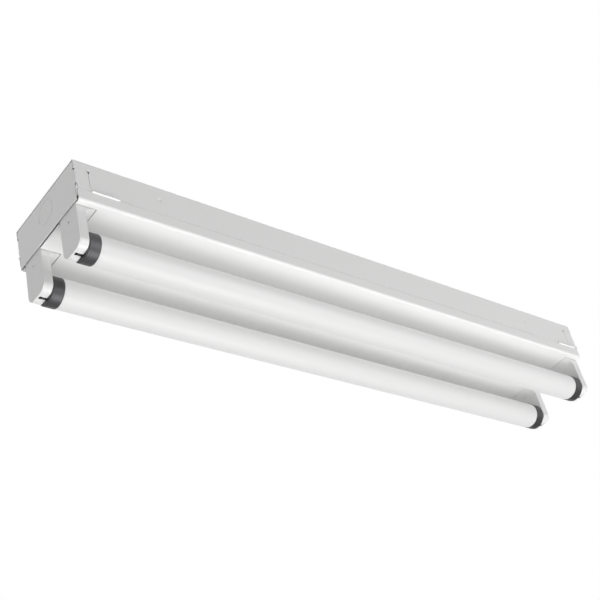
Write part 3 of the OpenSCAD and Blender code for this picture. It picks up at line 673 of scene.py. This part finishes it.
for lamp, (x, y, z) in lamp_axis.items():
    for end, side in ends.items():
        shaped(f"disc_{lamp}_{end}", [turned(disc_profile(side), (x, y, z))], "base_fibre",
               f"lamp_{lamp}", [f"lamp_base_{lamp}_{end}"], lamp_edge_turn)
        pair = [turned(pin_profile(side), (x, y + s * pin_half, z), steps=40) for s in (-1, 1)]
        shaped(f"pins_{lamp}_{end}", pair, "pin_brass", f"lamp_{lamp}",
               [f"lamp_pins_{lamp}_{end}"], lamp_edge_turn)

# %% [markdown]
# ## Tubes along a path
#
# Wires, electrode wires and the coil are round sections carried along a line. A section needs two
# directions across the line. Both come from one fixed slanting direction that no wire here runs
# along, so they change only as the line does and the tube doesn't twist.

# %% Sweeping
slant = np.array([0.31, 0.43, 0.85])


def swept(path, radius, sides=14):
    """A round tube on a path: ring k of point i is the point plus r (cos k) a + r (sin k) b, with
    a and b across the path. Both ends close to a point."""
    path = np.asarray(path, float)
    along = np.gradient(path, axis=0)
    along /= np.linalg.norm(along, axis=1)[:, None]
    a = np.cross(along, slant)
    a /= np.linalg.norm(a, axis=1)[:, None]
    b = np.cross(a, along)
    k = np.linspace(0, 2 * np.pi, sides, endpoint=False)[None, :, None]
    radius = np.broadcast_to(np.asarray(radius, float), (len(path),))[:, None, None]
    rings = path[:, None] + radius * (np.cos(k) * a[:, None] + np.sin(k) * b[:, None])
    first, last = np.repeat(path[:1], sides, 0)[None], np.repeat(path[-1:], sides, 0)[None]
    points = np.concatenate([first, rings, last]).reshape(-1, 3)
    return points, grid_faces(len(path) + 2, sides, False, True)


def rounded(route, reach=9.0, steps=12):
    """A route whose corners are replaced by a curve that starts a reach before each corner."""
    route = np.asarray(route, float)
    u = np.linspace(0, 1, steps)[:, None]
    pieces = [route[:1]]
    for before, corner, after in zip(route[:-2], route[1:-1], route[2:]):
        start = corner + (before - corner) * reach / np.linalg.norm(before - corner)
        end = corner + (after - corner) * reach / np.linalg.norm(after - corner)
        pieces.append((1 - u) ** 2 * start + 2 * u * (1 - u) * corner + u ** 2 * end)
    return np.concatenate(pieces + [route[-1:]])


# %% [markdown]
# Inside each end of a tube stands a glass mount: a disc sealed in the glass, a stem, two
# electrode wires and a coiled tungsten wire between them. They can't be seen through the white
# powder, but the solids have them, so they get their real shape: the coil is a true helix, a
# circle carried round a line while it moves along it.

# %% Cathodes
stem_x = glass_half - 1.2
support_y, support_tip_y, support_r = 2.2, 2.4, 0.35
coil_half, coil_r, coil_turns, coil_wire_r, coil_back = 2.6, 0.6, 9, 0.16, 21
wire_edge_turn = 50


def helix(start, end, radius, turns, steps_per_turn=14):
    """Points that circle round the line from start to end."""
    u = np.linspace(0, 1, int(turns * steps_per_turn))[:, None]
    middle = np.asarray(start) + (np.asarray(end) - np.asarray(start)) * u
    angle = 2 * np.pi * turns * u
    return middle + radius * (np.cos(angle) * [1, 0, 0] + np.sin(angle) * [0, 0, 1])


def stem_profile(side):
    """The sealed disc, its foot and the narrowing stem."""
    return np.concatenate([
        [[0, glass_half]], arc(11.2, glass_half - 0.25, 0.25, 90, 0, 4),
        [[11.45, stem_x + 0.2], [5.0, stem_x], [3.2, stem_x - 2.2]],
        arc(2.0, stem_x - 12.8, 1.2, 0, -90, 6), [[0, stem_x - 14]],
    ]) * [1, side]


for lamp, (x, y, z) in lamp_axis.items():
    stems, wires = [], []
    for side in ends.values():
        stems.append(turned(stem_profile(side), (x, y, z), steps=64))
        coil_x = side * (stem_x - coil_back)
        for s in (-1, 1):
            wires.append(swept([[side * (stem_x - 13.5), y + s * support_y, z],
                                [side * (stem_x - 18), y + s * support_y, z],
                                [coil_x, y + s * support_tip_y, z]], support_r))
        coil = helix([coil_x, y - coil_half, z], [coil_x, y + coil_half, z], coil_r, coil_turns)
        wires.append(swept(coil, coil_wire_r, 8))
    shaped(f"mounts_{lamp}", stems, "stem_glass", f"lamp_{lamp}", [f"cathodes_{lamp}"])
    shaped(f"electrodes_{lamp}", wires, "electrode_wire", f"lamp_{lamp}", (), wire_edge_turn)

# %% [markdown]
# ## Wiring
#
# The lamp leads leave the ballast at both ends and run under the channel's top to the holders;
# three supply wires meet twist-on connectors. Each wire repeats the route of its solid. Real
# single-strand wire holds its shape, so plain rounded corners are right.

# %% Leads
ballast_x, case_half, case_wall, wire_r = 60.0, 107.0, 0.7, 1.0
exit_y, exit_z, exit_l, slope_l = 9, -15.8, 10, 26
wire_side, run_z, hole_x, hole_run, lead_low = 42.325, -7.0, 300.2, 16, -44.5
supply_exit_y, supply_exit_z, supply_slope_l = 3, -20.8, 28
joint_x, joint_z, joint_depth = ballast_x - case_half - 74, -14, 3
joint_y = {"black": -14, "white": 4, "green": 22}


def lamp_lead(side, start, hand):
    """A lead's route from the ballast to a holder: hand is 1 for the right end, -1 for the left."""
    route = [[start, side * exit_y, exit_z], [start + exit_l, side * exit_y, exit_z],
             [start + exit_l + slope_l, side * wire_side, run_z],
             [hole_x - hole_run, side * wire_side, run_z],
             [hole_x, side * lamp_y, run_z], [hole_x, side * lamp_y, lead_low]]
    return rounded(np.array(route) * [hand, 1, 1])


for name, hand, colour in (("right", 1, "blue"), ("left", -1, "red")):
    start = case_half - case_wall + hand * ballast_x
    shaped(f"leads_{name}_round", [swept(lamp_lead(s, start, hand), wire_r) for s in (-1, 1)],
           f"{colour}_insulation", "channel", [f"leads_{name}"], wire_edge_turn)

supply_x = ballast_x - case_half + case_wall
for name, side in (("black", -1), ("white", 1)):
    route = [[supply_x, side * supply_exit_y, supply_exit_z],
             [supply_x - exit_l, side * supply_exit_y, supply_exit_z],
             [supply_x - exit_l - supply_slope_l, joint_y[name], joint_z],
             [joint_x - joint_depth, joint_y[name], joint_z]]
    shaped(f"supply_{name}", [swept(rounded(route), wire_r)], f"{name}_insulation", "channel",
           [f"lead_{name}"], wire_edge_turn)

# %% [markdown]
# The ground wire ends in a ring terminal on its own stud: a flat ring, a tongue, and a barrel
# crimped on the wire. The crimp flattens the barrel, so its height is pressed in and its width
# grows, which keeps it clear of the channel's top. The insulation stops just inside the barrel,
# because the crimp grips the bare wire.

# %% Ground lead
ground_x, ground_y, ground_z, ring_z = -72.5, 24.0, -1.9, -1.3
ring_out, ring_in, ring_edge, ring_half_t = 4.2, 2.5, 0.2, 0.3
barrel_near, barrel_far, barrel_r, crimp_depth = ground_x - 12.5, ground_x - 6.6, 1.25, 0.22

ground_route = [[ground_x - 5.9, ground_y, ground_z], [ground_x - 16, ground_y, ground_z],
                [joint_x + 16, joint_y["green"], joint_z],
                [joint_x - joint_depth, joint_y["green"], joint_z]]
insulated = rounded(ground_route, 5.0)[1:]
shaped("ground_wire", [swept(insulated, wire_r)], "green_insulation", "channel",
       ["lead_ground"], wire_edge_turn)
ring_profile = np.concatenate([
    arc(ring_out, ring_half_t, ring_edge, 0, 90, 4),
    arc(ring_in, ring_half_t, ring_edge, 90, 180, 4),
    arc(ring_in, -ring_half_t, ring_edge, 180, 270, 4),
    arc(ring_out, -ring_half_t, ring_edge, 270, 360, 4),
])


def pressed(tube, wide, high):
    """A tube whose section is scaled across and in height about the wire's line."""
    points, faces = tube
    middle = np.array([0, ground_y, points[:, 2].mean()])
    return (points - middle) * [1, wide, high] + middle, faces


def along_ground(start, end, z, steps):
    """Points on the straight line over the ground wire's end."""
    return np.linspace([start, ground_y, z], [end, ground_y, z], steps)


tongue = pressed(swept(along_ground(ground_x - 8.2, ground_x - 3.4, ring_z, 8), 0.5, 24), 2.6, 1.0)
barrel_u = np.linspace(0, 1, 24)
crimped_r = barrel_r - crimp_depth * np.exp(-((barrel_u - 0.5) / 0.16) ** 2)
barrel = pressed(swept(along_ground(barrel_near, barrel_far, ground_z, 24), crimped_r, 32),
                 1.25, 0.84)
ring = turned(ring_profile, (ground_x, ground_y, ring_z), "Z", 64, True)
shaped("ring_terminal", [ring, tongue, barrel], "zinc_steel", "channel", (), 40)
print("barrel points", len(barrel[0]))

# %% [markdown]
# The twist-on connectors are moulded with grip ribs. A rib is a slow wave in the radius round the
# connector, strongest half way along and gone at the mouth's bead and at the domed tip.

# %% Connectors
rib_start, rib_l, rib_count, rib_share, rib_step = 2.2, 13.5, 16, 0.045, 0.02
cone_l, tip_out, dome_r = 16.6, 1.9, 1.4


def grip(h, angle):
    """Ribs that are cut inwards only, so a rib's crest keeps the cone's radius."""
    u = np.clip((joint_x - rib_start - h) / rib_l, 0, 1)
    ribs = rib_share * np.sin(np.pi * u) ** 0.7 * (1 - np.cos(rib_count * angle))
    return -ribs - rib_step * (u > 0) * (u < 1)


cone = np.linspace([4.93, -1.6], [3.32, -cone_l], 44)
connector_profile = np.concatenate([
    [[0, -3.0], [1.1, -3.0], [1.1, -0.2], [1.3, 0.0]], arc(4.6, -0.4, 0.4, 90, 0, 6), cone,
    arc(tip_out, -cone_l, dome_r, 0, -90, 8), [[0, -cone_l - dome_r]],
]) + [0, joint_x]
connectors = [turned(connector_profile, (0, y, joint_z), steps=128, wave=grip)
              for y in joint_y.values()]
shaped("twist_connectors", connectors, "connector_plastic", "channel", ["wire_connectors"], 40)

# %% [markdown]
# Studs are rolled: the thread is a helix, so its crest moves one pitch along for each turn. That
# is one wave whose phase mixes height and angle. The nuts are hexagons whose corners a lathe has
# turned off at a cone, so each radius is the smaller one of hexagon and cone.

# %% Studs and nuts
stud_half = 114.3
stud_places = [(ballast_x - stud_half, 0.0), (ballast_x + stud_half, 0.0), (ground_x, ground_y)]
stud_r, stud_top, stud_l, stud_edge = 2.2, -0.8, 6.2, 0.35
thread_pitch, thread_share, thread_fade, thread_rows = 0.8, 0.075, 0.5, 78
nut_top, nut_h, nut_corner, nut_hole, nut_sink, nut_steps = -1.8, 3.4, 4.9, 2.25, 0.35, 96


def thread(h, angle):
    """A helical wave in the radius that fades out at the weld."""
    fade = np.clip((-thread_fade - h) / thread_fade, 0, 1)
    return -thread_share * fade * (1 - np.cos(2 * np.pi * h / thread_pitch - angle))


threaded = np.stack([np.full(thread_rows, stud_r),
                     np.linspace(-0.02, stud_edge - stud_l, thread_rows)], -1)
stud_profile = np.concatenate([[[0, 0]], threaded, [[stud_r - stud_edge, -stud_l], [0, -stud_l]]])
studs = [turned(stud_profile, (x, y, stud_top), "Z", 40, wave=thread) for x, y in stud_places]
shaped("threaded_studs", studs, "zinc_steel", "channel", ["ballast_studs"], 60)


def hex_nut(x, y):
    """A nut from rows of rings: outside, hexagon or cone, and the bore with its countersinks."""
    angle = np.linspace(0, 2 * np.pi, nut_steps, endpoint=False)[None, :]
    flat = nut_corner * np.cos(np.pi / 6)
    hexagon = flat / np.cos(np.mod(angle, np.pi / 3) - np.pi / 6)
    h = np.concatenate([[0], np.linspace(0, 0.6, 5), np.linspace(0.8, nut_h - 0.8, 5),
                        np.linspace(nut_h - 0.6, nut_h, 5),
                        [nut_h, nut_h - nut_sink, nut_sink]])[:, None]
    cone = 4.35 + 1.7 * np.minimum(h, nut_h - h)
    r = np.minimum(hexagon, cone)
    r[0], r[-3], r[-2:] = nut_hole + nut_sink, nut_hole + nut_sink, nut_hole
    z = nut_top - nut_h + h + 0 * angle
    points = np.stack([x + r * np.cos(angle), y + r * np.sin(angle), z], -1)
    return points.reshape(-1, 3), grid_faces(len(h), nut_steps, True, True)


shaped("hex_nuts", [hex_nut(x, y) for x, y in stud_places], "zinc_steel", "channel",
       ["ballast_nuts"], 28)
print("studs and nuts at", stud_places)

# %% [markdown]
# ## Pieces for every node
#
# Every node of the frame now has a piece that stands for it; a node without one would show up in
# the list below.

# %% Nodes without a piece
print("nodes without a piece", [n for n, node in frame["nodes"].items() if not node.hide_render])
bpy.context.view_layer.update()
